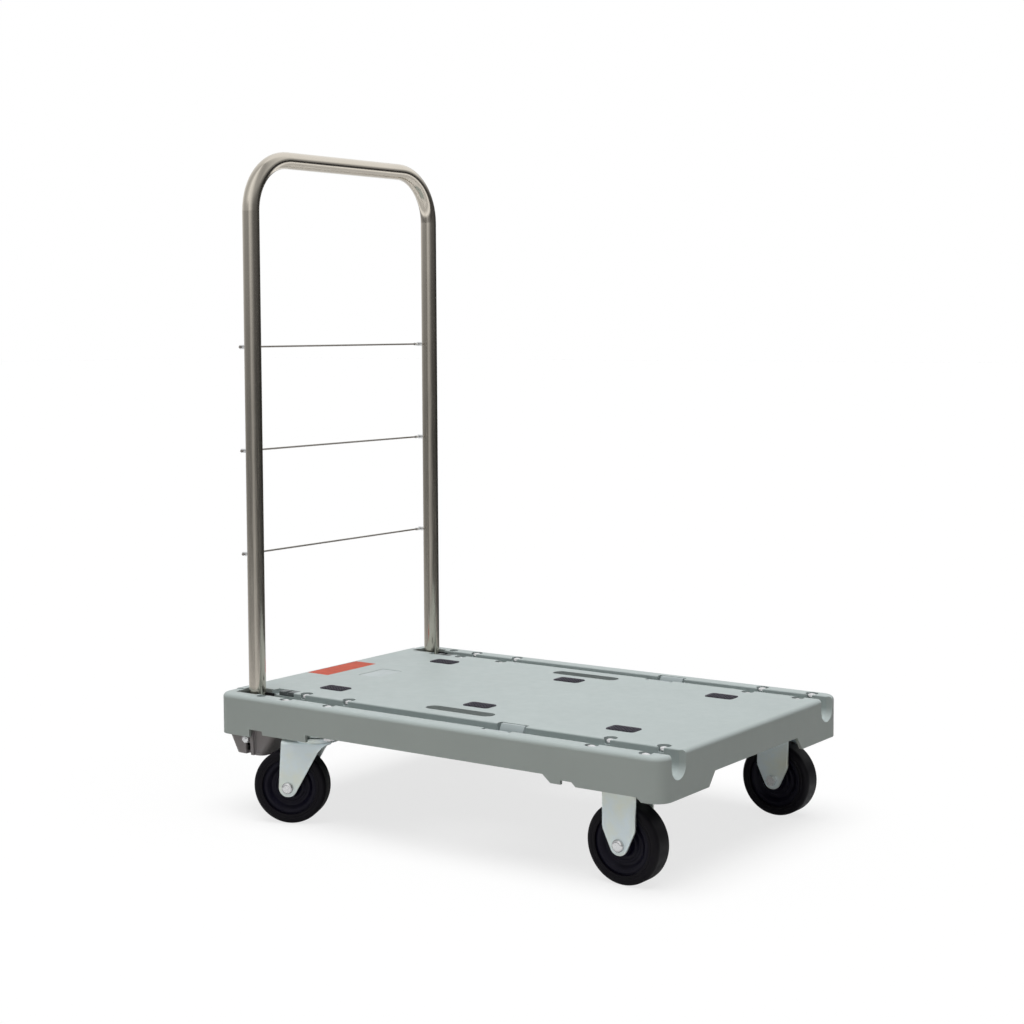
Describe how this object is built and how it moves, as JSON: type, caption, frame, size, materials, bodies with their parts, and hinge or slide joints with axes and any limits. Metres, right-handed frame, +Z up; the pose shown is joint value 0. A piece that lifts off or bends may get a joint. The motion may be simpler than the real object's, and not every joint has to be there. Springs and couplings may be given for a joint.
{
  "type": "folding platform cart",
  "caption": "Resin platform cart with a bent-tube push handle that folds flat into grooves in the deck, fixed front casters and swivelling rear casters.",
  "frame": {"origin": "on the floor, under the middle of the deck", "axes": "+X towards the open front end, away from the handle; +Y to the left; +Z up"},
  "size_m": [0.735, 0.5042, 0.938],
  "materials": {
    "deck_resin": "moulded grey resin with a fine texture",
    "pad_rubber": "black ribbed rubber",
    "panel_orange": "flat orange sheet",
    "polished_steel": "polished stainless tube",
    "wire_steel": "drawn wire",
    "bright_fastener": "bright plated",
    "zinc_steel": "blue-white zinc plate",
    "black_steel": "black powder coat",
    "clip_plastic": "moulded grey plastic",
    "dark_plastic": "dark grey moulded plastic",
    "tyre_rubber": "smooth black rubber",
    "wheel_nylon": "black nylon"
  },
  "bodies": {
    "chassis": {"deck": "deck_resin", "grip_pad_rear_right": "pad_rubber", "grip_pad_rear_left": "pad_rubber", "grip_pad_middle_right": "pad_rubber", "grip_pad_middle_left": "pad_rubber", "grip_pad_front_right": "pad_rubber", "grip_pad_front_left": "pad_rubber", "rear_panel": "panel_orange", "hinge_bracket_right": "black_steel", "handle_clip_right": "clip_plastic", "corner_housing_right": "dark_plastic", "fixed_bracket_right": "zinc_steel", "swivel_plate_right": "zinc_steel", "hinge_bracket_left": "black_steel", "handle_clip_left": "clip_plastic", "corner_housing_left": "dark_plastic", "fixed_bracket_left": "zinc_steel", "swivel_plate_left": "zinc_steel", "pivot_bolts": "bright_fastener", "pivot_nuts": "bright_fastener", "bracket_screws": "bright_fastener", "housing_bolts": "bright_fastener", "housing_cross_bolts": "bright_fastener", "clip_screws": "bright_fastener", "caster_bolts": "bright_fastener", "caster_nuts": "bright_fastener", "kingpins": "bright_fastener", "axle_nuts_front": "bright_fastener", "axle_sleeve_front_right": "zinc_steel", "axle_bolt_front_right": "bright_fastener", "axle_sleeve_front_left": "zinc_steel", "axle_bolt_front_left": "bright_fastener"},
    "handle": {"handle_tube": "polished_steel", "foot_plug_right": "dark_plastic", "foot_plug_left": "dark_plastic", "pivot_bushes": "dark_plastic", "cross_wire_lower": "wire_steel", "cross_wire_middle": "wire_steel", "cross_wire_upper": "wire_steel", "wire_studs": "bright_fastener"},
    "lock_right": {"lock_slider_right": "dark_plastic"},
    "lock_left": {"lock_slider_left": "dark_plastic"},
    "swivel_right": {"swivel_fork_right": "zinc_steel", "ball_ring_right": "bright_fastener", "axle_sleeve_rear_right": "zinc_steel", "axle_bolt_rear_right": "bright_fastener", "axle_nut_rear_right": "bright_fastener"},
    "swivel_left": {"swivel_fork_left": "zinc_steel", "ball_ring_left": "bright_fastener", "axle_sleeve_rear_left": "zinc_steel", "axle_bolt_rear_left": "bright_fastener", "axle_nut_rear_left": "bright_fastener"},
    "wheel_front_right": {"tyre_front_right": "tyre_rubber", "wheel_core_front_right": "wheel_nylon"},
    "wheel_front_left": {"tyre_front_left": "tyre_rubber", "wheel_core_front_left": "wheel_nylon"},
    "wheel_rear_right": {"tyre_rear_right": "tyre_rubber", "wheel_core_rear_right": "wheel_nylon"},
    "wheel_rear_left": {"tyre_rear_left": "tyre_rubber", "wheel_core_rear_left": "wheel_nylon"}
  },
  "joints": [
    {"name": "handle_fold", "type": "hinge", "parent": "chassis", "child": "handle", "pos_m": [-0.325, 0, 0.156], "axis": [0, 1, 0], "range_deg": [0, 90]},
    {"name": "lock_right_slide", "type": "slide", "parent": "chassis", "child": "lock_right", "axis": [-1, 0, 0], "range_m": [0, 0.012]},
    {"name": "lock_left_slide", "type": "slide", "parent": "chassis", "child": "lock_left", "axis": [-1, 0, 0], "range_m": [0, 0.012]},
    {"name": "swivel_right_turn", "type": "hinge", "parent": "chassis", "child": "swivel_right", "pos_m": [-0.212, -0.2015, 0.1], "axis": [0, 0, 1], "continuous": true},
    {"name": "swivel_left_turn", "type": "hinge", "parent": "chassis", "child": "swivel_left", "pos_m": [-0.212, 0.2015, 0.1], "axis": [0, 0, 1], "continuous": true},
    {"name": "wheel_front_right_spin", "type": "hinge", "parent": "chassis", "child": "wheel_front_right", "pos_m": [0.295, -0.2015, 0.052], "axis": [0, 1, 0], "continuous": true},
    {"name": "wheel_front_left_spin", "type": "hinge", "parent": "chassis", "child": "wheel_front_left", "pos_m": [0.295, 0.2015, 0.052], "axis": [0, 1, 0], "continuous": true},
    {"name": "wheel_rear_right_spin", "type": "hinge", "parent": "swivel_right", "child": "wheel_rear_right", "pos_m": [-0.24599, -0.21735, 0.052], "axis": [-0.4226, 0.9063, 0], "continuous": true},
    {"name": "wheel_rear_left_spin", "type": "hinge", "parent": "swivel_left", "child": "wheel_rear_left", "pos_m": [-0.24599, 0.21735, 0.052], "axis": [0.4226, 0.9063, 0], "continuous": true}
  ]
}
